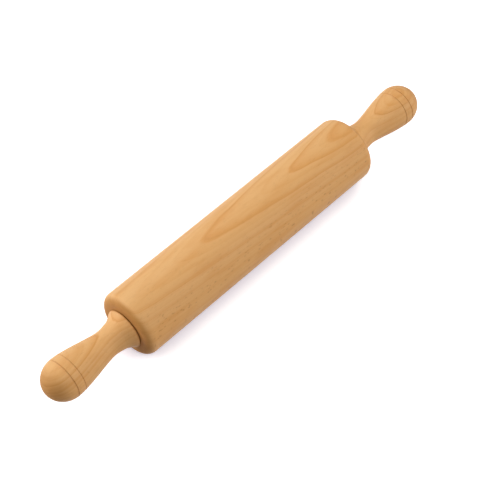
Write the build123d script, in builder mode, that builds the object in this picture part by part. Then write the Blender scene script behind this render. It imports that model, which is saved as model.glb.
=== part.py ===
"""Rolling pin: a turned barrel that spins on ball bearings between two fixed turned handles.

Units are millimetres and +Z is up. The pin lies on the worktop with its axis along +X, so the
axis runs at the height of the barrel's radius.
"""

import os
from math import atan2, degrees, radians, tan

from build123d import *

os.makedirs("parts", exist_ok=True)

# Barrel
barrel_diameter = 60.0
barrel_length = 270.0
rim_round = 7.4
axle_bore_clearance = 1.0
barrel_end_gap = 0.6

# Handles
handle_length = 84.4
bulb_radius = 18.42
insert_hole_room = 3.0
drill_point_angle = 118.0
base_edge_round = 0.6
base_flare_angle = 32.0

# Handle outline from base to bulb: distance as a share of that stretch, radius of the bulb's
handle_outline_shares = (
    (0.122, 0.757),
    (0.201, 0.690),
    (0.306, 0.650),
    (0.424, 0.695),
    (0.543, 0.771),
    (0.673, 0.861),
    (0.804, 0.937),
)
base_radius_share = 0.988
nose_length_share = 1.07
nose_radius_share = 0.94

# Scribed rings around each bulb, at these distances from its widest place toward the tip
ring_places = (-6.8, 1.0)
ring_radius_shares = (0.986, 0.999)
ring_groove_radius = 0.55

# Axle rod
axle_diameter = 10.0
journal_diameter = 8.0
thread_diameter = 6.0
thread_engagement = 15.0
journal_end_gap = 0.4
rod_end_chamfer = 0.8

# Ball bearings
bearing_outer_diameter = 22.0
bearing_width = 7.0
bearing_recess = 1.0
ball_diameter = 3.969
ball_count = 7
ball_running_clearance = 0.02
race_groove_share = 0.52
race_groove_depth = 0.7
race_edge_break = 0.3
race_rim_wall = 1.4
shield_thickness = 0.3
shield_inset = 0.2
shield_inner_gap = 0.3

# Cage that spaces the balls
cage_land_gap = 0.5
cage_open_side = 1.4
cage_closed_side = 2.6
cage_pocket_clearance = 0.06

# Spacer washers and threaded inserts
washer_setback = 0.5
washer_bore_clearance = 0.1
insert_diameter = 10.0
insert_length = 18.0
insert_flange_diameter = 13.0
insert_flange_thickness = 1.4

# Derived positions
axis_height = barrel_diameter / 2
barrel_end = barrel_length / 2
bearing_face = barrel_end - bearing_recess
bearing_back = bearing_face - bearing_width
bearing_middle = bearing_face - bearing_width / 2
handle_face = barrel_end + barrel_end_gap
handle_tip = handle_face + handle_length

# Derived radii of the bearing, from the ball circle midway between journal and seat
ball_radius = ball_diameter / 2
pitch_radius = (bearing_outer_diameter + journal_diameter) / 4
race_groove_radius = ball_diameter * race_groove_share
outer_groove_floor = pitch_radius + ball_radius + ball_running_clearance
inner_groove_floor = pitch_radius - ball_radius - ball_running_clearance
outer_land_radius = outer_groove_floor - race_groove_depth
inner_land_radius = inner_groove_floor + race_groove_depth
shield_radius = bearing_outer_diameter / 2 - race_rim_wall
shield_bore = inner_land_radius + shield_inner_gap

pin_axis = Axis((0, 0, axis_height), (1, 0, 0))
profile_plane = Plane(origin=(0, 0, axis_height), x_dir=(1, 0, 0), z_dir=(0, -1, 0))
mirror_plane = Plane.YZ


def axial_plane(distance):
    """Plane across the pin's axis at a distance along it, facing away from the middle."""
    return Plane(origin=(distance, 0, axis_height), x_dir=(0, 1, 0), z_dir=(1, 0, 0))


# Barrel, bored through, with a counterbore for a bearing at each end
with BuildPart() as barrel:
    with BuildSketch(axial_plane(-barrel_end)):
        Circle(barrel_diameter / 2)
    extrude(amount=barrel_length)
    fillet(barrel.edges().filter_by(GeomType.CIRCLE), radius=rim_round)
    with BuildSketch(axial_plane(-barrel_end)):
        Circle(axle_diameter / 2 + axle_bore_clearance)
    extrude(amount=barrel_length, mode=Mode.SUBTRACT)
    with BuildSketch(axial_plane(bearing_back)):
        Circle(bearing_outer_diameter / 2)
    extrude(amount=barrel_end - bearing_back, mode=Mode.SUBTRACT)
    with BuildSketch(axial_plane(-barrel_end)):
        Circle(bearing_outer_diameter / 2)
    extrude(amount=barrel_end - bearing_back, mode=Mode.SUBTRACT)
barrel.part.label = "barrel"
export_step(barrel.part, "parts/barrel.step")

# Axle rod: a thick middle whose shoulders locate the bearings, journals, and threaded ends
rod_end = handle_face + thread_engagement
journal_end = handle_face - journal_end_gap
with BuildPart() as axle_rod:
    with BuildSketch(profile_plane):
        with BuildLine():
            Polyline(
                (-rod_end, 0),
                (-rod_end, thread_diameter / 2 - rod_end_chamfer),
                (-rod_end + rod_end_chamfer, thread_diameter / 2),
                (-journal_end, thread_diameter / 2),
                (-journal_end, journal_diameter / 2),
                (-bearing_back, journal_diameter / 2),
                (-bearing_back, axle_diameter / 2),
                (bearing_back, axle_diameter / 2),
                (bearing_back, journal_diameter / 2),
                (journal_end, journal_diameter / 2),
                (journal_end, thread_diameter / 2),
                (rod_end - rod_end_chamfer, thread_diameter / 2),
                (rod_end, thread_diameter / 2 - rod_end_chamfer),
                (rod_end, 0),
                close=True,
            )
        make_face()
    revolve(axis=pin_axis)
axle_rod.part.label = "axle_rod"
export_step(axle_rod.part, "parts/axle_rod.step")

# Handle: flared base, waist, bulb with two scribed rings, rounded nose, drilled for its insert
base_radius = bulb_radius * base_radius_share
insert_radius = insert_diameter / 2
insert_hole_end = handle_face + insert_length + insert_hole_room
drill_point = insert_hole_end + insert_radius / tan(radians(drill_point_angle / 2))

# The nose is two tangent arcs: a shoulder from the bulb's widest place, and a ball end
nose_length = bulb_radius * nose_length_share
nose_radius = bulb_radius * nose_radius_share
bulb_place = handle_tip - nose_length
shoulder_radius = (bulb_radius**2 + nose_length**2 - 2 * nose_length * nose_radius) / (
    2 * (bulb_radius - nose_radius)
)
nose_turn = degrees(atan2(nose_length - nose_radius, shoulder_radius - bulb_radius))

with BuildPart() as right_handle:
    with BuildSketch(profile_plane):
        with BuildLine():
            Line((handle_tip, 0), (handle_face, 0))
            Line((handle_face, 0), (handle_face, base_radius - base_edge_round))
            base_edge = JernArc(
                (handle_face, base_radius - base_edge_round),
                (0, 1),
                base_edge_round,
                -(90 + base_flare_angle),
            )
            body = Spline(
                base_edge @ 1,
                *[
                    (handle_face + (bulb_place - handle_face) * along, bulb_radius * out)
                    for along, out in handle_outline_shares
                ],
                (bulb_place, bulb_radius),
                tangents=(base_edge % 1, (1, 0)),
                tangent_scalars=(1, 1),
            )
            shoulder = JernArc(body @ 1, (1, 0), shoulder_radius, -nose_turn)
            JernArc(shoulder @ 1, shoulder % 1, nose_radius, nose_turn - 90)
        make_face()
        for place, out in zip(ring_places, ring_radius_shares):
            with Locations((bulb_place + place, bulb_radius * out)):
                Circle(ring_groove_radius, mode=Mode.SUBTRACT)
    revolve(axis=pin_axis)
    with BuildSketch(profile_plane):
        with BuildLine():
            Polyline(
                (handle_face, 0),
                (handle_face, insert_radius),
                (insert_hole_end, insert_radius),
                (drill_point, 0),
                close=True,
            )
        make_face()
    revolve(axis=pin_axis, mode=Mode.SUBTRACT)
    with BuildSketch(axial_plane(handle_face)):
        Circle(insert_flange_diameter / 2)
    extrude(amount=insert_flange_thickness, mode=Mode.SUBTRACT)
right_handle.part.label = "right_handle"
export_step(right_handle.part, "parts/right_handle.step")

with BuildPart() as left_handle:
    add(right_handle.part.mirror(mirror_plane))
left_handle.part.label = "left_handle"
export_step(left_handle.part, "parts/left_handle.step")

# Threaded insert: brass barrel with a flange flush with the handle's base
with BuildPart() as right_threaded_insert:
    with BuildSketch(axial_plane(handle_face)):
        Circle(insert_flange_diameter / 2)
    extrude(amount=insert_flange_thickness)
    with BuildSketch(axial_plane(handle_face)):
        Circle(insert_radius)
    extrude(amount=insert_length)
    with BuildSketch(axial_plane(handle_face)):
        Circle(thread_diameter / 2)
    extrude(amount=insert_length, mode=Mode.SUBTRACT)
right_threaded_insert.part.label = "right_threaded_insert"
export_step(right_threaded_insert.part, "parts/right_threaded_insert.step")

with BuildPart() as left_threaded_insert:
    add(right_threaded_insert.part.mirror(mirror_plane))
left_threaded_insert.part.label = "left_threaded_insert"
export_step(left_threaded_insert.part, "parts/left_threaded_insert.step")

# Spacer washer: clamped between the inner race and the insert's flange
with BuildPart() as right_spacer_washer:
    with BuildSketch(axial_plane(bearing_face)):
        Circle(inner_land_radius - washer_setback)
        Circle((journal_diameter + washer_bore_clearance) / 2, mode=Mode.SUBTRACT)
    extrude(amount=handle_face - bearing_face)
right_spacer_washer.part.label = "right_spacer_washer"
export_step(right_spacer_washer.part, "parts/right_spacer_washer.step")

with BuildPart() as left_spacer_washer:
    add(right_spacer_washer.part.mirror(mirror_plane))
left_spacer_washer.part.label = "left_spacer_washer"
export_step(left_spacer_washer.part, "parts/left_spacer_washer.step")

# Outer race: pressed into the barrel, with a ball groove and a step at each face for a shield
shield_step = shield_inset + shield_thickness
outer_groove_centre = outer_groove_floor - race_groove_radius
with BuildPart() as right_bearing_outer_race:
    with BuildSketch(axial_plane(bearing_back)):
        Circle(bearing_outer_diameter / 2)
        Circle(outer_land_radius, mode=Mode.SUBTRACT)
    extrude(amount=bearing_width)
    with BuildSketch(axial_plane(bearing_back)):
        Circle(shield_radius)
    extrude(amount=shield_step, mode=Mode.SUBTRACT)
    with BuildSketch(axial_plane(bearing_face - shield_step)):
        Circle(shield_radius)
    extrude(amount=shield_step, mode=Mode.SUBTRACT)
    with BuildSketch(profile_plane):
        with Locations((bearing_middle, outer_groove_centre)):
            Circle(race_groove_radius)
    revolve(axis=pin_axis, mode=Mode.SUBTRACT)
    outer_rims = right_bearing_outer_race.edges().filter_by(GeomType.CIRCLE).group_by(SortBy.RADIUS)[-1]
    chamfer(outer_rims, length=race_edge_break)
right_bearing_outer_race.part.label = "right_bearing_outer_race"
export_step(right_bearing_outer_race.part, "parts/right_bearing_outer_race.step")

with BuildPart() as left_bearing_outer_race:
    add(right_bearing_outer_race.part.mirror(mirror_plane))
left_bearing_outer_race.part.label = "left_bearing_outer_race"
export_step(left_bearing_outer_race.part, "parts/left_bearing_outer_race.step")

# Inner race: on the journal against the axle's shoulder, with a ball groove
inner_groove_centre = inner_groove_floor + race_groove_radius
with BuildPart() as right_bearing_inner_race:
    with BuildSketch(axial_plane(bearing_back)):
        Circle(inner_land_radius)
        Circle(journal_diameter / 2, mode=Mode.SUBTRACT)
    extrude(amount=bearing_width)
    with BuildSketch(profile_plane):
        with Locations((bearing_middle, inner_groove_centre)):
            Circle(race_groove_radius)
    revolve(axis=pin_axis, mode=Mode.SUBTRACT)
right_bearing_inner_race.part.label = "right_bearing_inner_race"
export_step(right_bearing_inner_race.part, "parts/right_bearing_inner_race.step")

with BuildPart() as left_bearing_inner_race:
    add(right_bearing_inner_race.part.mirror(mirror_plane))
left_bearing_inner_race.part.label = "left_bearing_inner_race"
export_step(left_bearing_inner_race.part, "parts/left_bearing_inner_race.step")

# Balls between the races
with BuildPart() as right_bearing_balls:
    with Locations(axial_plane(bearing_middle)):
        with PolarLocations(pitch_radius, ball_count):
            Sphere(ball_radius)
right_bearing_balls.part.label = "right_bearing_balls"
export_step(right_bearing_balls.part, "parts/right_bearing_balls.step")

with BuildPart() as left_bearing_balls:
    add(right_bearing_balls.part.mirror(mirror_plane))
left_bearing_balls.part.label = "left_bearing_balls"
export_step(left_bearing_balls.part, "parts/left_bearing_balls.step")

# Cage: a moulded crown whose pockets open toward the middle of the pin
with BuildPart() as right_bearing_cage:
    with BuildSketch(axial_plane(bearing_middle - cage_open_side)):
        Circle(outer_land_radius - cage_land_gap)
        Circle(inner_land_radius + cage_land_gap, mode=Mode.SUBTRACT)
    extrude(amount=cage_open_side + cage_closed_side)
    with Locations(axial_plane(bearing_middle)):
        with PolarLocations(pitch_radius, ball_count):
            Sphere(ball_radius + cage_pocket_clearance, mode=Mode.SUBTRACT)
right_bearing_cage.part.label = "right_bearing_cage"
export_step(right_bearing_cage.part, "parts/right_bearing_cage.step")

with BuildPart() as left_bearing_cage:
    add(right_bearing_cage.part.mirror(mirror_plane))
left_bearing_cage.part.label = "left_bearing_cage"
export_step(left_bearing_cage.part, "parts/left_bearing_cage.step")

# Shields: thin rings seated in the outer race's steps, clear of the inner race
with BuildPart() as right_bearing_outer_shield:
    with BuildSketch(axial_plane(bearing_face - shield_step)):
        Circle(shield_radius)
        Circle(shield_bore, mode=Mode.SUBTRACT)
    extrude(amount=shield_thickness)
right_bearing_outer_shield.part.label = "right_bearing_outer_shield"
export_step(right_bearing_outer_shield.part, "parts/right_bearing_outer_shield.step")

with BuildPart() as right_bearing_inner_shield:
    with BuildSketch(axial_plane(bearing_back + shield_inset)):
        Circle(shield_radius)
        Circle(shield_bore, mode=Mode.SUBTRACT)
    extrude(amount=shield_thickness)
right_bearing_inner_shield.part.label = "right_bearing_inner_shield"
export_step(right_bearing_inner_shield.part, "parts/right_bearing_inner_shield.step")

with BuildPart() as left_bearing_outer_shield:
    add(right_bearing_outer_shield.part.mirror(mirror_plane))
left_bearing_outer_shield.part.label = "left_bearing_outer_shield"
export_step(left_bearing_outer_shield.part, "parts/left_bearing_outer_shield.step")

with BuildPart() as left_bearing_inner_shield:
    add(right_bearing_inner_shield.part.mirror(mirror_plane))
left_bearing_inner_shield.part.label = "left_bearing_inner_shield"
export_step(left_bearing_inner_shield.part, "parts/left_bearing_inner_shield.step")
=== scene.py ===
"""Finishes and stage for a turned beech rolling pin.

Every piece keeps its CAD shape. This file gives the wood its growth rings, rays, end grain, scribed lines and
a painted shade toward one side, gives the metal and moulded pieces inside their own finish, and sets up
a plain white stage with soft light and the camera.
"""

from math import cos, radians, sin

import bmesh
import bpy
from bpy.props import FloatProperty, FloatVectorProperty, PointerProperty
from bpy.types import Operator, Panel, PropertyGroup
from mathutils import Matrix, Vector


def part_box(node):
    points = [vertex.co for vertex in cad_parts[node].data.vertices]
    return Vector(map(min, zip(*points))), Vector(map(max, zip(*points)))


bl_info = {
    "name": "Rolling pin finishes",
    "version": (1, 0, 0),
    "blender": (4, 5, 0),
    "location": "3D View > Sidebar > Rolling pin",
    "description": "Beech, steel and brass finishes, and a stage, for a rolling pin",
    "category": "Object",
}

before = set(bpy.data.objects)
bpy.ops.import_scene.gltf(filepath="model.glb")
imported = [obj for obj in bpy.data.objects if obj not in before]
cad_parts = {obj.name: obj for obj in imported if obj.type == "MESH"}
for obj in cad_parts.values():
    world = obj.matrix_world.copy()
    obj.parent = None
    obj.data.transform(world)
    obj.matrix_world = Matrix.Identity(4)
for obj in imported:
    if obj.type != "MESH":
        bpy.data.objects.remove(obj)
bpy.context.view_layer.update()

FRAME_PIXELS = 500
SENSOR_WIDTH = 36
MILLIMETRES = 1000.0
SIDES = ("left", "right")

# Places on the pin, read from the frame
barrel_low, barrel_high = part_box("barrel")
handle_low, handle_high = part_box("right_handle")
AXIS_HEIGHT = barrel_high.z / 2
BARREL_END = barrel_high.x
HANDLE_BASE = handle_low.x
HANDLE_TIP = handle_high.x

# Places along the pin, in mm: the scribed lines back from a handle's tip, and where end grain
# starts to show and where it shows in full, back from the edge of its piece
SCRIBED_LINES = (26.51, 18.71)
BARREL_END_GRAIN = (4.6, 0.6)
NOSE_END_GRAIN = (15.0, 2.0)
BASE_END_GRAIN = (1.6, 0.2)

# Sizes of the wood's patterns in mm: along the grain, then across it both ways
BEND_SIZE = (60, 14, 14)
RIPPLE_SIZE = (9, 3, 3)
TONE_SIZE = (46, 9, 9)
MOTTLE_SIZE = (7, 2.4, 3.4)
FIBRE_SIZE = (16, 0.45, 0.45)
PORE_SIZE = (1.1, 0.13, 0.13)
RAY_SIZE = (5.2, 0.85, 16)
# Distances from the blank's middle plane, in mm, between which the rays grow stronger
RAY_TURN = (15.0, 27.0)
# Painted shade: each blank turns warmer and darker toward its -Y side, which lies low in the camera's view;
# where this starts and where it is full, in mm from the blank's middle plane
LOWER_SIDE_SHADE = (20.0, -30.0)
# Sizes of the lathe's marks and of the patterns on metal and plastic in mm
LATHE_MARK_SIZE = (0.4, 24, 24)
METAL_MARK_ROUND = 18.0
METAL_PATCH_SIZE = (3.5, 3.5, 3.5)
PLASTIC_FLOW_SIZE = (4, 4, 4)
PLASTIC_PEEL_SIZE = (0.2, 0.2, 0.2)
# Heights of the surface relief, in metres
WOOD_RELIEF = 0.0001
METAL_RELIEF = 0.00002
PLASTIC_RELIEF = 0.00003
STAIN = (0.30, 0.28, 0.26)
FLOW_TINT = (0.60, 0.55, 0.42)

# Growth rings that show as drawn figures: depth toward the tree's middle, in mm from the ring that
# runs through the pin's axis, then strength
BARREL_RINGS = ((-8.5, 0.3), (1.5, 0.35), (9.5, 0.4), (16.4, 0.7), (26.9, 1.0), (34.0, 0.8), (37.2, 0.95))
LEFT_RINGS = ((12.6, 0.4), (18.0, 0.5), (21.0, 0.5), (27.2, 1.0), (30.6, 0.4))
RIGHT_RINGS = ((-9.0, 0.3), (-2.0, 0.4), (4.5, 0.4), (9.2, 0.5), (13.6, 1.0), (16.0, 0.5), (17.7, 0.6))
# Range of depths that hold drawn rings, and the widths of a ring's sharp edge and of its fade, in mm
RING_SPAN = (-40.0, 48.0)
RING_EDGE = 0.25
RING_FADE = 2.6
# Depth over which the spacing of the fine rings changes, in mm
SPACING_DRIFT = 5.0

# Soft lamps: direction round the pin and height, in degrees
LAMPS = {"left": (135, 20), "back": (82, 50), "right": (315, 20), "front": (262, 50)}
# Open shares of the floor's surroundings at which the contact shade is full, then gone
CONTACT_SHADE = (0.25, 0.68)
SHADE_SAMPLES = 16
FLOOR_SEGMENTS = 96


def colour(name, description, default):
    """A colour setting, in linear light."""
    return FloatVectorProperty(
        name=name, description=description, default=default, subtype="COLOR", size=3, min=0, max=1
    )


def length(name, description, default):
    """A length setting, in metres."""
    return FloatProperty(name=name, description=description, default=default, unit="LENGTH", precision=4)


def share(name, description, default):
    """A setting from nothing to all."""
    return FloatProperty(name=name, description=description, default=default, subtype="FACTOR", min=0, max=1)


def power(name, description, default):
    """A lamp's power setting, in watts."""
    return FloatProperty(name=name, description=description, default=default, unit="POWER")


def pith_angle(default):
    """The direction of the tree's middle, seen along the pin."""
    return FloatProperty(
        name="Pith angle",
        description="Direction of the tree's middle, seen along the pin and turned from straight up",
        default=radians(default),
        subtype="ANGLE",
    )


def grain_tilt(default):
    """How much the growth rings climb along the pin."""
    return FloatProperty(
        name="Grain tilt",
        description="Climb of the growth rings for each length along the pin",
        default=default,
    )


class WoodSettings(PropertyGroup):
    """Colours and finish of the beech that the barrel and handles share."""

    pale: colour("Pale wood", "Wood between the growth rings", (0.785, 0.452, 0.184))
    # Warm wood is also the colour that the painted shade on each blank's low side turns toward
    warm: colour("Warm wood", "Wood along each growth ring", (0.705, 0.342, 0.108))
    dark: colour("Dark lines", "Rays and the sharp edge of a growth ring", (0.36, 0.14, 0.035))
    end: colour("End grain", "Wood cut across its fibres", (0.57, 0.27, 0.075))
    # Colour of the wood in the scribed lines, drawn darker there
    scribed_darkening: colour("Scribed line", "Wood darkened in the scribed lines", (0.44, 0.20, 0.065))
    ray_strength: share("Rays", "How dark the rays are", 0.24)
    fibre_strength: share("Fibres", "How strongly the fibres mark the colour", 0.35)
    roughness: share("Roughness", "Roughness of the sanded wood", 0.5)


class BarrelFigure(PropertyGroup):
    """How the growth rings run through the barrel's blank."""

    pith_angle: pith_angle(-1.5)
    pith_distance: length("Pith distance", "From the pin's axis to the tree's middle", 0.1)
    grain_tilt: grain_tilt(0.07)
    waviness: length("Waviness", "How far the rings wander", 0.0007)


class LeftHandleFigure(PropertyGroup):
    """How the growth rings run through the left handle's blank."""

    pith_angle: pith_angle(-20)
    pith_distance: length("Pith distance", "From the pin's axis to the tree's middle", 0.09)
    grain_tilt: grain_tilt(-0.09)
    waviness: length("Waviness", "How far the rings wander", 0.0012)


class RightHandleFigure(PropertyGroup):
    """How the growth rings run through the right handle's blank."""

    pith_angle: pith_angle(3)
    pith_distance: length("Pith distance", "From the pin's axis to the tree's middle", 0.12)
    grain_tilt: grain_tilt(0.0)
    waviness: length("Waviness", "How far the rings wander", 0.001)


class MetalSettings(PropertyGroup):
    """Colours of the pieces inside the pin."""

    drawn_steel: colour("Drawn steel", "Axle rod", (0.55, 0.55, 0.56))
    plated_steel: colour("Plated steel", "Washers", (0.60, 0.60, 0.62))
    ground_steel: colour("Ground steel", "Bearing races", (0.60, 0.60, 0.62))
    ball_steel: colour("Polished steel", "Bearing balls", (0.70, 0.70, 0.72))
    shield_steel: colour("Pressed steel", "Bearing shields", (0.50, 0.50, 0.52))
    brass: colour("Brass", "Threaded inserts", (0.72, 0.50, 0.20))
    polyamide: colour("Polyamide", "Bearing cages", (0.74, 0.70, 0.58))


class StageSettings(PropertyGroup):
    """Floor, light and camera."""

    floor_size: length("Floor size", "Across the round floor", 3.4)
    floor_colour: colour("Floor", "Floor as it lights the pin", (0.34, 0.34, 0.35))
    floor_seen: colour("Seen floor", "Floor's part in the picture that shadows darken", (0.96, 0.96, 1.0))
    floor_glow: share("Floor glow", "Floor's own white in the picture, which shadows can't darken", 0.62)
    floor_shade: colour("Contact shade", "Floor's glow close under the pin", (0.30, 0.30, 0.40))
    shade_reach: length("Shade reach", "How far from the pin the contact shade goes", 0.03)
    sky_strength: FloatProperty(name="Sky", description="Strength of the light from all round", default=0.08)
    lamp_size: length("Lamp size", "Side of each square soft lamp", 1.5)
    lamp_distance: length("Lamp distance", "From the pin to each lamp", 2.2)
    left_power: power("Left lamp", "Power of the low lamp on the left", 33.0)
    back_power: power("Back lamp", "Power of the high lamp behind the pin", 22.0)
    right_power: power("Right lamp", "Power of the low lamp on the right", 19.5)
    front_power: power("Front lamp", "Power of the high lamp above the camera", 18.5)
    camera_lens: FloatProperty(name="Lens", description="Focal length in mm on a 36 mm sensor", default=101.8)
    camera_distance: length("Camera distance", "From the camera to the barrel's middle", 1.1949)
    camera_azimuth: FloatProperty(
        name="Camera azimuth", description="Direction of the camera round the pin", default=radians(-136.017),
        subtype="ANGLE",
    )
    camera_elevation: FloatProperty(
        name="Camera elevation", description="Height of the camera as an angle", default=radians(53.145),
        subtype="ANGLE",
    )
    barrel_pixel: FloatVectorProperty(
        name="Barrel pixel",
        description="Where the barrel's middle falls in the frame, in pixels from its top left",
        default=(242.46, 232.22),
        size=2,
    )


def clear_nodes(tree):
    """Empties a node tree, so that an operator can be run again."""
    tree.nodes.clear()
    return tree


def place(tree, kind, **settings):
    """Adds a node of a kind and sets its options."""
    node = tree.nodes.new(kind)
    for name, value in settings.items():
        setattr(node, name, value)
    return node


def feed(tree, socket, value):
    """Gives an input a link from an output, or a plain value."""
    if isinstance(value, bpy.types.NodeSocket):
        tree.links.new(value, socket)
    elif isinstance(socket, bpy.types.NodeSocketColor) and len(value) == 3:
        socket.default_value = (*value, 1)
    else:
        socket.default_value = value


def maths(tree, operation, *values, clamp=False):
    """One step of arithmetic."""
    node = place(tree, "ShaderNodeMath", operation=operation, use_clamp=clamp)
    for socket, value in zip(node.inputs, values):
        feed(tree, socket, value)
    return node.outputs[0]


def vectors(tree, operation, *values):
    """One step of arithmetic on vectors."""
    node = place(tree, "ShaderNodeVectorMath", operation=operation)
    for socket, value in zip(node.inputs, values):
        feed(tree, socket, value)
    return node.outputs["Vector"]


def stretched(tree, vector, size):
    """A vector divided by the size of a pattern along each axis."""
    return vectors(tree, "DIVIDE", vector, size)


def in_millimetres(tree, vector):
    """A vector in metres, turned into millimetres."""
    node = place(tree, "ShaderNodeVectorMath", operation="SCALE")
    feed(tree, node.inputs["Vector"], vector)
    feed(tree, node.inputs["Scale"], MILLIMETRES)
    return node.outputs["Vector"]


def seen_directly(tree):
    """One for the rays that show the background: from the camera, a reflection or through glass."""
    light_path = place(tree, "ShaderNodeLightPath").outputs
    direct = maths(tree, "ADD", light_path["Is Camera Ray"], light_path["Is Transmission Ray"])
    return maths(tree, "ADD", direct, light_path["Is Glossy Ray"], clamp=True)


def fade(tree, value, start, end, low=0.0, high=1.0):
    """A smooth step from low at start to high at end."""
    node = place(tree, "ShaderNodeMapRange", interpolation_type="SMOOTHSTEP")
    for socket, setting in zip(node.inputs, (value, start, end, low, high)):
        feed(tree, socket, setting)
    return node.outputs["Result"]


def blend_colours(tree, amount, first, second):
    """A mix of two colours."""
    node = place(tree, "ShaderNodeMix", data_type="RGBA")
    feed(tree, node.inputs["Factor"], amount)
    feed(tree, node.inputs[6], first)
    feed(tree, node.inputs[7], second)
    return node.outputs[2]


def noise(tree, vector, detail=3.0, roughness=0.5):
    """Soft noise, from nothing to one."""
    node = place(tree, "ShaderNodeTexNoise")
    feed(tree, node.inputs["Vector"], vector)
    node.inputs["Scale"].default_value = 1.0
    node.inputs["Detail"].default_value = detail
    node.inputs["Roughness"].default_value = roughness
    return node.outputs["Fac"]


def cells(tree, vector):
    """Distance to the nearest of many scattered points."""
    node = place(tree, "ShaderNodeTexVoronoi")
    feed(tree, node.inputs["Vector"], vector)
    node.inputs["Scale"].default_value = 1.0
    return node.outputs["Distance"]


def new_group(name, inputs, outputs):
    """An empty node group with its sockets, and its input and output nodes."""
    tree = bpy.data.node_groups.new(name, "ShaderNodeTree")
    for socket_name, kind, default in inputs:
        socket = tree.interface.new_socket(socket_name, in_out="INPUT", socket_type=f"NodeSocket{kind}")
        if default is not None:
            socket.default_value = default
    for socket_name, kind in outputs:
        tree.interface.new_socket(socket_name, in_out="OUTPUT", socket_type=f"NodeSocket{kind}")
    start = tree.nodes.new("NodeGroupInput")
    end = tree.nodes.new("NodeGroupOutput")
    return tree, start.outputs, end.inputs


def use_group(tree, group, **values):
    """Places a node group, with values for its inputs by name."""
    node = place(tree, "ShaderNodeGroup", node_tree=group)
    for name, value in values.items():
        feed(tree, node.inputs[name.replace("_", " ")], value)
    return node.outputs


def blank_group():
    """Where a point lies in the tree: along and across the grain, and its depth toward the middle."""
    tree, given, result = new_group(
        "place in the tree",
        [("Position", "Vector", None), ("Axis Height", "Float", 0.03), ("Pith Angle", "Float", 0.0),
         ("Pith Distance", "Float", 0.1), ("Grain Tilt", "Float", 0.05), ("Waviness", "Float", 0.001)],
        [("Grain", "Vector"), ("Depth", "Float")],
    )
    axis = place(tree, "ShaderNodeCombineXYZ")
    feed(tree, axis.inputs["Z"], given["Axis Height"])
    centred = vectors(tree, "SUBTRACT", given["Position"], axis.outputs[0])
    turned = place(tree, "ShaderNodeVectorRotate", rotation_type="X_AXIS")
    feed(tree, turned.inputs["Vector"], in_millimetres(tree, centred))
    feed(tree, turned.inputs["Angle"], maths(tree, "MULTIPLY", given["Pith Angle"], -1.0))
    grain = turned.outputs["Vector"]
    parts = place(tree, "ShaderNodeSeparateXYZ")
    feed(tree, parts.inputs[0], grain)
    distance = maths(tree, "MULTIPLY", given["Pith Distance"], MILLIMETRES)
    below = maths(tree, "SUBTRACT", distance, parts.outputs["Z"])
    ring_radius = maths(
        tree, "SQRT",
        maths(tree, "ADD", maths(tree, "MULTIPLY", below, below),
              maths(tree, "MULTIPLY", parts.outputs["Y"], parts.outputs["Y"])),
    )
    depth = maths(tree, "SUBTRACT", distance, ring_radius)
    climb = maths(tree, "MULTIPLY", parts.outputs["X"], given["Grain Tilt"])
    broad = maths(tree, "SUBTRACT", noise(tree, stretched(tree, grain, BEND_SIZE), detail=1.0), 0.5)
    small = maths(tree, "SUBTRACT", noise(tree, stretched(tree, grain, RIPPLE_SIZE), detail=2.0), 0.5)
    wander = maths(tree, "ADD", maths(tree, "MULTIPLY", broad, 3.0), maths(tree, "MULTIPLY", small, 0.45))
    shift = maths(tree, "MULTIPLY", maths(tree, "MULTIPLY", given["Waviness"], MILLIMETRES), wander)
    feed(tree, result["Grain"], grain)
    feed(tree, result["Depth"], maths(tree, "ADD", maths(tree, "ADD", depth, climb), shift))
    return tree


def fine_ring_group():
    """Faint growth rings between the drawn ones: sharp at one edge, fading toward the next."""
    tree, given, result = new_group(
        "fine rings", [("Depth", "Float", 0.0), ("Spacing", "Float", 3.1)], [("Ring", "Float")]
    )
    jitter_vector = place(tree, "ShaderNodeCombineXYZ")
    feed(tree, jitter_vector.inputs["X"], maths(tree, "DIVIDE", given["Depth"], SPACING_DRIFT))
    jitter = noise(tree, jitter_vector.outputs[0], detail=1.0)
    count = maths(tree, "DIVIDE", given["Depth"], given["Spacing"])
    phase = maths(tree, "FRACT", maths(tree, "ADD", count, maths(tree, "MULTIPLY", jitter, 2.2)))
    falling = maths(tree, "POWER", maths(tree, "SUBTRACT", 1.0, phase), 3.0)
    rising = fade(tree, phase, 0.0, 0.06)
    feed(tree, result["Ring"], maths(tree, "MULTIPLY", falling, rising))
    return tree


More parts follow.
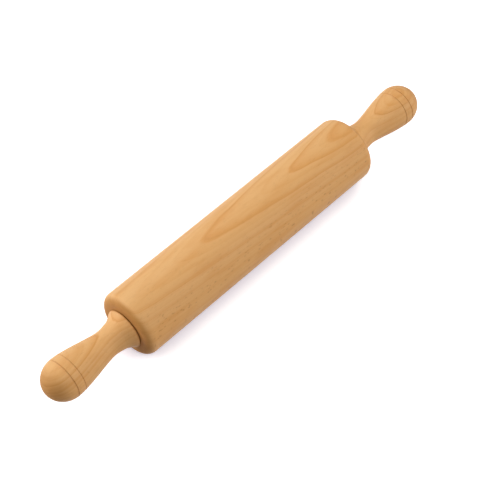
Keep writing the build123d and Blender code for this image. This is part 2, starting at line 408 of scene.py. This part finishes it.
def beech_group():
    """Beech: fibres, rays, broad tones, end grain and a painted shade toward one side, as a colour, a
    roughness and a height.
    """
    tree, given, result = new_group(
        "beech",
        [("Grain", "Vector", None), ("Ring", "Float", 0.0), ("Fine Ring", "Float", 0.0),
         ("End", "Float", 0.0), ("Pale", "Color", None), ("Warm", "Color", None),
         ("Dark", "Color", None), ("End Colour", "Color", None), ("Ray Strength", "Float", 0.3),
         ("Fibre Strength", "Float", 0.35), ("Roughness", "Float", 0.5)],
        [("Color", "Color"), ("Roughness", "Float"), ("Height", "Float")],
    )
    grain = given["Grain"]
    parts = place(tree, "ShaderNodeSeparateXYZ")
    feed(tree, parts.inputs[0], grain)
    broad = noise(tree, stretched(tree, grain, TONE_SIZE), detail=2.0, roughness=0.6)
    mottle = noise(tree, stretched(tree, grain, MOTTLE_SIZE), detail=3.0, roughness=0.65)
    fibre = noise(tree, stretched(tree, grain, FIBRE_SIZE), detail=3.0, roughness=0.7)
    pores = noise(tree, stretched(tree, grain, PORE_SIZE), detail=2.0, roughness=0.6)

    # Rays are thin sheets that run out from the pith: faint dashes on one face, flecks on the other
    ray_distance = cells(tree, stretched(tree, grain, RAY_SIZE))
    ray = fade(tree, ray_distance, 0.34, 0.14)
    quartered = fade(tree, maths(tree, "ABSOLUTE", parts.outputs["Y"]), *RAY_TURN, 0.6, 1.7)
    ray = maths(tree, "MULTIPLY", ray, quartered)
    ray = maths(tree, "MULTIPLY", ray, fade(tree, mottle, 0.35, 0.62))

    tone = maths(tree, "ADD", maths(tree, "MULTIPLY", given["Ring"], 0.95),
                 maths(tree, "MULTIPLY", given["Fine Ring"], 0.28))
    tone = maths(tree, "ADD", tone, fade(tree, broad, 0.42, 0.72, 0.0, 0.38))
    # Painted shade: the wood turns warmer and darker toward the blank's -Y side, low in the camera's view
    tone = maths(tree, "ADD", tone, fade(tree, parts.outputs["Y"], *LOWER_SIDE_SHADE, 0.0, 0.45), clamp=True)
    wood = blend_colours(tree, tone, given["Pale"], given["Warm"])
    streaks = maths(tree, "MULTIPLY", fade(tree, fibre, 0.42, 0.7), given["Fibre Strength"])
    wood = blend_colours(tree, maths(tree, "MULTIPLY", streaks, 0.4), wood, given["Warm"])
    edge = fade(tree, given["Ring"], 0.62, 1.0, 0.0, 0.2)
    marks = maths(tree, "MULTIPLY", fade(tree, mottle, 0.5, 0.75), 0.06)
    marks = maths(tree, "ADD", marks, maths(tree, "MULTIPLY", ray, given["Ray Strength"]))
    marks = maths(tree, "ADD", marks, maths(tree, "MULTIPLY", fade(tree, pores, 0.55, 0.72), 0.08))
    marks = maths(tree, "ADD", marks, edge, clamp=True)
    wood = blend_colours(tree, marks, wood, given["Dark"])
    cut = blend_colours(tree, maths(tree, "MULTIPLY", tone, 0.4), given["End Colour"], given["Dark"])
    wood = blend_colours(tree, given["End"], wood, cut)

    uneven = maths(tree, "MULTIPLY", maths(tree, "SUBTRACT", fibre, 0.5), 0.22)
    rough = maths(tree, "ADD", given["Roughness"], uneven)
    rough = maths(tree, "ADD", rough, maths(tree, "MULTIPLY", given["End"], 0.14), clamp=True)
    relief = maths(tree, "ADD", maths(tree, "MULTIPLY", fibre, 0.6), maths(tree, "MULTIPLY", pores, 0.4))
    relief = maths(tree, "SUBTRACT", relief, maths(tree, "MULTIPLY", ray, 0.35))
    feed(tree, result["Color"], wood)
    feed(tree, result["Roughness"], rough)
    feed(tree, result["Height"], relief)
    return tree


def from_middle_group():
    """Distance from the middle of the pin, in millimetres, whichever side a point is on."""
    tree, given, result = new_group(
        "from the middle", [("Position", "Vector", None)], [("Distance", "Float")]
    )
    parts = place(tree, "ShaderNodeSeparateXYZ")
    feed(tree, parts.inputs[0], in_millimetres(tree, given["Position"]))
    feed(tree, result["Distance"], maths(tree, "ABSOLUTE", parts.outputs["X"]))
    return tree


def scribed_line_group():
    """A mask over one line scribed round a handle."""
    tree, given, result = new_group(
        "scribed line", [("Distance", "Float", 0.0), ("Place", "Float", 0.0), ("Half Width", "Float", 0.5)],
        [("Mask", "Float")],
    )
    away = maths(tree, "ABSOLUTE", maths(tree, "SUBTRACT", given["Distance"], given["Place"]))
    near = maths(tree, "DIVIDE", away, given["Half Width"])
    feed(tree, result["Mask"], fade(tree, near, 1.3, 0.55))
    return tree


def lathe_group():
    """Fine rings that a lathe and sandpaper leave round a turned piece."""
    tree, given, result = new_group("lathe marks", [("Position", "Vector", None)], [("Height", "Float")])
    position = in_millimetres(tree, given["Position"])
    feed(tree, result["Height"], noise(tree, stretched(tree, position, LATHE_MARK_SIZE), detail=4.0))
    return tree


def machined_metal_group():
    """Metal with turning marks round the pin and dull patches."""
    tree, given, result = new_group(
        "machined metal",
        [("Position", "Vector", None), ("Tint", "Color", None), ("Mark Size", "Float", 0.25),
         ("Roughness", "Float", 0.3), ("Patches", "Float", 0.2)],
        [("Color", "Color"), ("Roughness", "Float"), ("Height", "Float")],
    )
    position = in_millimetres(tree, given["Position"])
    size = place(tree, "ShaderNodeCombineXYZ")
    feed(tree, size.inputs["X"], given["Mark Size"])
    for axis in "YZ":
        feed(tree, size.inputs[axis], METAL_MARK_ROUND)
    marks = noise(tree, stretched(tree, position, size.outputs[0]), detail=4.0)
    patches = noise(tree, stretched(tree, position, METAL_PATCH_SIZE), detail=3.0)
    dull = maths(tree, "MULTIPLY", fade(tree, patches, 0.45, 0.7), given["Patches"])
    feed(tree, result["Color"], blend_colours(tree, dull, given["Tint"], STAIN))
    uneven = maths(tree, "MULTIPLY", maths(tree, "SUBTRACT", marks, 0.5), 0.3)
    rough = maths(tree, "ADD", given["Roughness"], uneven)
    feed(tree, result["Roughness"], maths(tree, "ADD", rough, maths(tree, "MULTIPLY", dull, 0.5), clamp=True))
    feed(tree, result["Height"], marks)
    return tree


def moulded_plastic_group():
    """Moulded plastic: a finely pebbled skin and faint flow tones."""
    tree, given, result = new_group(
        "moulded plastic",
        [("Position", "Vector", None), ("Tint", "Color", None), ("Roughness", "Float", 0.45)],
        [("Color", "Color"), ("Roughness", "Float"), ("Height", "Float")],
    )
    position = in_millimetres(tree, given["Position"])
    flow = noise(tree, stretched(tree, position, PLASTIC_FLOW_SIZE), detail=2.0)
    peel = noise(tree, stretched(tree, position, PLASTIC_PEEL_SIZE), detail=2.0)
    tone = maths(tree, "MULTIPLY", fade(tree, flow, 0.4, 0.7), 0.25)
    feed(tree, result["Color"], blend_colours(tree, tone, given["Tint"], FLOW_TINT))
    uneven = maths(tree, "MULTIPLY", maths(tree, "SUBTRACT", peel, 0.5), 0.2)
    feed(tree, result["Roughness"], maths(tree, "ADD", given["Roughness"], uneven, clamp=True))
    feed(tree, result["Height"], peel)
    return tree


GROUP_MAKERS = {
    "place in the tree": blank_group,
    "fine rings": fine_ring_group,
    "beech": beech_group,
    "from the middle": from_middle_group,
    "scribed line": scribed_line_group,
    "lathe marks": lathe_group,
    "machined metal": machined_metal_group,
    "moulded plastic": moulded_plastic_group,
}


def group(name):
    """The node group of that name, made the first time that it is asked for."""
    return bpy.data.node_groups.get(name) or GROUP_MAKERS[name]()


def material_base(name):
    """A material with its shader, its place on the object and its output, ready for a finish."""
    material = bpy.data.materials.get(name) or bpy.data.materials.new(name)
    material.use_nodes = True
    tree = clear_nodes(material.node_tree)
    position = place(tree, "ShaderNodeTexCoord").outputs["Object"]
    shader = place(tree, "ShaderNodeBsdfPrincipled")
    output = place(tree, "ShaderNodeOutputMaterial")
    tree.links.new(shader.outputs["BSDF"], output.inputs["Surface"])
    return material, tree, position, shader


def bump(tree, shader, height, distance, strength):
    """Leans the shader's normal by a height from nothing to one, times a distance in metres."""
    node = place(tree, "ShaderNodeBump")
    node.inputs["Distance"].default_value = distance
    node.inputs["Strength"].default_value = strength
    feed(tree, node.inputs["Height"], height)
    tree.links.new(node.outputs["Normal"], shader.inputs["Normal"])


def ring_ramp(tree, depth, rings):
    """Drawn growth rings: each starts sharply at its depth and fades toward the tree's middle."""
    low, high = RING_SPAN
    position = place(tree, "ShaderNodeMapRange")
    for socket, value in zip(position.inputs, (depth, low, high)):
        feed(tree, socket, value)
    node = place(tree, "ShaderNodeValToRGB")
    ramp = node.color_ramp
    ramp.interpolation = "LINEAR"
    ramp.elements.remove(ramp.elements[1])
    ramp.elements[0].position = 0.0
    ramp.elements[0].color = (0, 0, 0, 1)
    for at, strength in rings:
        shape = ((0.0, 0.0), (RING_EDGE, strength), (RING_EDGE * 3, strength * 0.62), (RING_FADE, 0.0))
        for offset, level in shape:
            stop = ramp.elements.new((at + offset - low) / (high - low))
            stop.color = (level, level, level, 1)
    feed(tree, node.inputs["Fac"], position.outputs["Result"])
    return node.outputs["Color"]


def wood_material(name, figure, rings, end_mask, lines=()):
    """A beech material. end_mask(tree, distance) tells where the wood is cut across its fibres."""
    wood = bpy.context.scene.pin_wood
    material, tree, position, shader = material_base(name)
    blank = use_group(
        tree, group("place in the tree"), Position=position, Axis_Height=AXIS_HEIGHT,
        Pith_Angle=figure.pith_angle, Pith_Distance=figure.pith_distance, Grain_Tilt=figure.grain_tilt,
        Waviness=figure.waviness,
    )
    distance = use_group(tree, group("from the middle"), Position=position)["Distance"]
    ring = ring_ramp(tree, blank["Depth"], rings)
    fine = use_group(tree, group("fine rings"), Depth=blank["Depth"])["Ring"]
    beech = use_group(
        tree, group("beech"), Grain=blank["Grain"], Ring=ring, Fine_Ring=fine, End=end_mask(tree, distance),
        Pale=wood.pale, Warm=wood.warm, Dark=wood.dark, End_Colour=wood.end, Ray_Strength=wood.ray_strength,
        Fibre_Strength=wood.fibre_strength, Roughness=wood.roughness,
    )
    surface = beech["Color"]
    for at in lines:
        mask = use_group(tree, group("scribed line"), Distance=distance, Place=at)["Mask"]
        # The wood is drawn darker in each scribed line
        surface = blend_colours(tree, maths(tree, "MULTIPLY", mask, 0.38), surface, wood.scribed_darkening)
    turned = use_group(tree, group("lathe marks"), Position=position)["Height"]
    fibres = maths(tree, "MULTIPLY", beech["Height"], 0.7)
    height = maths(tree, "ADD", fibres, maths(tree, "MULTIPLY", turned, 0.3))
    shader.inputs["Specular IOR Level"].default_value = 0.2
    feed(tree, shader.inputs["Base Color"], surface)
    feed(tree, shader.inputs["Roughness"], beech["Roughness"])
    bump(tree, shader, height, WOOD_RELIEF, 0.35)
    return material


def metal_material(name, tint, roughness, mark_size, patches):
    """A machined metal material. mark_size is the spacing of its turning marks in mm."""
    material, tree, position, shader = material_base(name)
    metal = use_group(
        tree, group("machined metal"), Position=position, Tint=tint, Roughness=roughness, Mark_Size=mark_size,
        Patches=patches,
    )
    shader.inputs["Metallic"].default_value = 1.0
    feed(tree, shader.inputs["Base Color"], metal["Color"])
    feed(tree, shader.inputs["Roughness"], metal["Roughness"])
    bump(tree, shader, metal["Height"], METAL_RELIEF, 0.4)
    return material


def dress(node_name, material):
    """Puts a material on every slot of a CAD node, whose shape stays as it is."""
    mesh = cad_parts[node_name].data
    if not mesh.materials:
        mesh.materials.append(material)
    for index in range(len(mesh.materials)):
        mesh.materials[index] = material


def barrel_ends(tree, distance):
    """End grain on the barrel's rounded rims and end faces."""
    start, full = (BARREL_END * MILLIMETRES - back for back in BARREL_END_GRAIN)
    return fade(tree, distance, start, full)


def handle_ends(tree, distance):
    """End grain on a handle's nose and on the face against the barrel."""
    nose_start, nose_full = (HANDLE_TIP * MILLIMETRES - back for back in NOSE_END_GRAIN)
    base_start, base_full = (HANDLE_BASE * MILLIMETRES + back for back in BASE_END_GRAIN)
    nose = fade(tree, distance, nose_start, nose_full, 0.0, 0.9)
    base = fade(tree, distance, base_start, base_full)
    return maths(tree, "MAXIMUM", nose, base)


class PIN_OT_barrel(Operator):
    """Gives the barrel its beech, with flame figures along its upper side"""

    bl_idname = "pin.barrel"
    bl_label = "Barrel"

    def execute(self, context):
        dress("barrel", wood_material("barrel_beech", context.scene.pin_barrel, BARREL_RINGS, barrel_ends))
        return {"FINISHED"}


class PIN_OT_handles(Operator):
    """Gives both handles their beech, with two darkened scribed lines round each bulb"""

    bl_idname = "pin.handles"
    bl_label = "Handles"

    def execute(self, context):
        scene = context.scene
        lines = [HANDLE_TIP * MILLIMETRES - back for back in SCRIBED_LINES]
        left = wood_material("left_handle_beech", scene.pin_left_handle, LEFT_RINGS, handle_ends, lines)
        right = wood_material("right_handle_beech", scene.pin_right_handle, RIGHT_RINGS, handle_ends, lines)
        dress("left_handle", left)
        dress("right_handle", right)
        return {"FINISHED"}


class PIN_OT_axle(Operator):
    """Gives the axle rod, threaded inserts and washers their metal"""

    bl_idname = "pin.axle"
    bl_label = "Axle"

    def execute(self, context):
        metal = context.scene.pin_metal
        drawn = metal_material(
            "drawn_steel", metal.drawn_steel, roughness=0.32, mark_size=0.5, patches=0.25
        )
        brass = metal_material(
            "turned_brass", metal.brass, roughness=0.26, mark_size=0.22, patches=0.3
        )
        plated = metal_material(
            "plated_steel", metal.plated_steel, roughness=0.36, mark_size=0.8, patches=0.2
        )
        dress("axle_rod", drawn)
        for side in SIDES:
            dress(f"{side}_threaded_insert", brass)
            dress(f"{side}_spacer_washer", plated)
        return {"FINISHED"}


class PIN_OT_bearings(Operator):
    """Gives the ball bearings their ground, polished, pressed and moulded finishes"""

    bl_idname = "pin.bearings"
    bl_label = "Bearings"

    def execute(self, context):
        metal = context.scene.pin_metal
        ground = metal_material(
            "ground_steel", metal.ground_steel, roughness=0.16, mark_size=0.12, patches=0.08
        )
        polished = metal_material(
            "polished_steel", metal.ball_steel, roughness=0.08, mark_size=0.6, patches=0.04
        )
        pressed = metal_material(
            "pressed_steel", metal.shield_steel, roughness=0.34, mark_size=0.3, patches=0.25
        )
        moulded, tree, position, shader = material_base("moulded_polyamide")
        plastic = use_group(tree, group("moulded plastic"), Position=position, Tint=metal.polyamide)
        feed(tree, shader.inputs["Base Color"], plastic["Color"])
        feed(tree, shader.inputs["Roughness"], plastic["Roughness"])
        bump(tree, shader, plastic["Height"], PLASTIC_RELIEF, 0.5)
        for side in SIDES:
            dress(f"{side}_bearing_outer_race", ground)
            dress(f"{side}_bearing_inner_race", ground)
            dress(f"{side}_bearing_balls", polished)
            dress(f"{side}_bearing_cage", moulded)
            dress(f"{side}_bearing_outer_shield", pressed)
            dress(f"{side}_bearing_inner_shield", pressed)
        return {"FINISHED"}


def floor_material(stage):
    """White floor for the camera, which shadows can still darken, and a plain one for bounced light."""
    material = bpy.data.materials.new("white_floor")
    material.use_nodes = True
    tree = clear_nodes(material.node_tree)
    lit = place(tree, "ShaderNodeBsdfDiffuse")
    lit.inputs["Color"].default_value = (*stage.floor_colour, 1)
    white = place(tree, "ShaderNodeEmission")
    white.inputs["Strength"].default_value = stage.floor_glow
    nearby = place(tree, "ShaderNodeAmbientOcclusion", samples=SHADE_SAMPLES)
    nearby.inputs["Distance"].default_value = stage.shade_reach
    open_air = fade(tree, nearby.outputs["AO"], *CONTACT_SHADE)
    feed(tree, white.inputs["Color"], blend_colours(tree, open_air, stage.floor_shade, (1, 1, 1)))
    shaded = place(tree, "ShaderNodeBsdfDiffuse")
    shaded.inputs["Color"].default_value = (*stage.floor_seen, 1)
    seen = place(tree, "ShaderNodeAddShader")
    tree.links.new(white.outputs[0], seen.inputs[0])
    tree.links.new(shaded.outputs[0], seen.inputs[1])
    both = place(tree, "ShaderNodeMixShader")
    tree.links.new(seen_directly(tree), both.inputs["Fac"])
    tree.links.new(lit.outputs[0], both.inputs[1])
    tree.links.new(seen.outputs[0], both.inputs[2])
    output = place(tree, "ShaderNodeOutputMaterial")
    tree.links.new(both.outputs[0], output.inputs["Surface"])
    return material


def make_floor(stage):
    """A round floor under the pin."""
    mesh = bpy.data.meshes.new("floor")
    shape = bmesh.new()
    bmesh.ops.create_circle(shape, cap_ends=True, segments=FLOOR_SEGMENTS, radius=stage.floor_size / 2)
    shape.to_mesh(mesh)
    shape.free()
    floor = bpy.data.objects.new("floor", mesh)
    bpy.context.scene.collection.objects.link(floor)
    mesh.materials.append(floor_material(stage))


def make_sky(stage):
    """Soft light from all round, seen as plain white."""
    world = bpy.context.scene.world or bpy.data.worlds.new("sky")
    bpy.context.scene.world = world
    world.use_nodes = True
    tree = clear_nodes(world.node_tree)
    light = place(tree, "ShaderNodeBackground")
    light.inputs["Strength"].default_value = stage.sky_strength
    white = place(tree, "ShaderNodeBackground")
    mixed = place(tree, "ShaderNodeMixShader")
    tree.links.new(seen_directly(tree), mixed.inputs["Fac"])
    tree.links.new(light.outputs[0], mixed.inputs[1])
    tree.links.new(white.outputs[0], mixed.inputs[2])
    for background in (light, white):
        background.inputs["Color"].default_value = (1, 1, 1, 1)
    output = place(tree, "ShaderNodeOutputWorld")
    tree.links.new(mixed.outputs[0], output.inputs["Surface"])


def direction(azimuth, elevation):
    """A unit vector toward a place in the sky."""
    return Vector((cos(elevation) * cos(azimuth), cos(elevation) * sin(azimuth), sin(elevation)))


def make_lamp(name, towards, distance, size, watts):
    """A square soft lamp that faces the pin."""
    lamp = bpy.data.lights.new(name, "AREA")
    lamp.shape = "SQUARE"
    lamp.size = size
    lamp.energy = watts
    holder = bpy.data.objects.new(name, lamp)
    bpy.context.scene.collection.objects.link(holder)
    holder.location = towards * distance
    holder.rotation_euler = towards.to_track_quat("Z", "Y").to_euler()


def make_camera(stage):
    """A level camera that sees the barrel's middle at its pixel in the photograph's frame."""
    back = direction(stage.camera_azimuth, stage.camera_elevation)
    right = Vector((0, 0, 1)).cross(back).normalized()
    up = back.cross(right)
    camera = bpy.data.cameras.new("camera")
    camera.sensor_width = SENSOR_WIDTH
    camera.lens = stage.camera_lens
    holder = bpy.data.objects.new("camera", camera)
    bpy.context.scene.collection.objects.link(holder)
    pixels_to_metres = stage.camera_distance * SENSOR_WIDTH / stage.camera_lens / FRAME_PIXELS
    aside = (stage.barrel_pixel[0] - FRAME_PIXELS / 2) * pixels_to_metres
    above = (FRAME_PIXELS / 2 - stage.barrel_pixel[1]) * pixels_to_metres
    turn = Matrix((right, up, back)).transposed().to_4x4()
    middle = Vector((0, 0, AXIS_HEIGHT))
    spot = middle + back * stage.camera_distance - right * aside - up * above
    holder.matrix_world = Matrix.Translation(spot) @ turn
    bpy.context.scene.camera = holder


class PIN_OT_stage(Operator):
    """Sets up the floor, the light and the camera"""

    bl_idname = "pin.stage"
    bl_label = "Stage"

    def execute(self, context):
        stage = context.scene.pin_stage
        make_floor(stage)
        make_sky(stage)
        for name, (azimuth, elevation) in LAMPS.items():
            towards = direction(radians(azimuth), radians(elevation))
            watts = getattr(stage, f"{name}_power")
            make_lamp(f"{name}_lamp", towards, stage.lamp_distance, stage.lamp_size, watts)
        make_camera(stage)
        context.scene.view_settings.view_transform = "Standard"
        return {"FINISHED"}


class PIN_PT_panel(Panel):
    """Lists the finishes and the stage"""

    bl_idname = "PIN_PT_panel"
    bl_label = "Rolling pin"
    bl_space_type = "VIEW_3D"
    bl_region_type = "UI"
    bl_category = "Rolling pin"

    def draw(self, context):
        layout = self.layout
        scene = context.scene
        for operator in OPERATORS:
            layout.operator(operator.bl_idname)
        for settings in SETTINGS:
            box = layout.box()
            owner = getattr(scene, settings)
            box.label(text=owner.bl_rna.name)
            for name in owner.__annotations__:
                box.prop(owner, name)


OPERATORS = (PIN_OT_barrel, PIN_OT_handles, PIN_OT_axle, PIN_OT_bearings, PIN_OT_stage)
SETTINGS = {
    "pin_wood": WoodSettings,
    "pin_barrel": BarrelFigure,
    "pin_left_handle": LeftHandleFigure,
    "pin_right_handle": RightHandleFigure,
    "pin_metal": MetalSettings,
    "pin_stage": StageSettings,
}


def register():
    """Adds the settings, operators and panel to Blender."""
    for settings in SETTINGS.values():
        bpy.utils.register_class(settings)
    for name, settings in SETTINGS.items():
        setattr(bpy.types.Scene, name, PointerProperty(type=settings))
    for operator in OPERATORS:
        bpy.utils.register_class(operator)
    bpy.utils.register_class(PIN_PT_panel)


def unregister():
    """Takes the panel, operators and settings out of Blender again."""
    bpy.utils.unregister_class(PIN_PT_panel)
    for operator in reversed(OPERATORS):
        bpy.utils.unregister_class(operator)
    for name in reversed(SETTINGS):
        delattr(bpy.types.Scene, name)
    for settings in reversed(SETTINGS.values()):
        bpy.utils.unregister_class(settings)


def main():
    """Registers the add-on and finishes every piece."""
    register()
    bpy.ops.pin.barrel()
    bpy.ops.pin.handles()
    bpy.ops.pin.axle()
    bpy.ops.pin.bearings()
    bpy.ops.pin.stage()


if __name__ == "__main__":
    main()
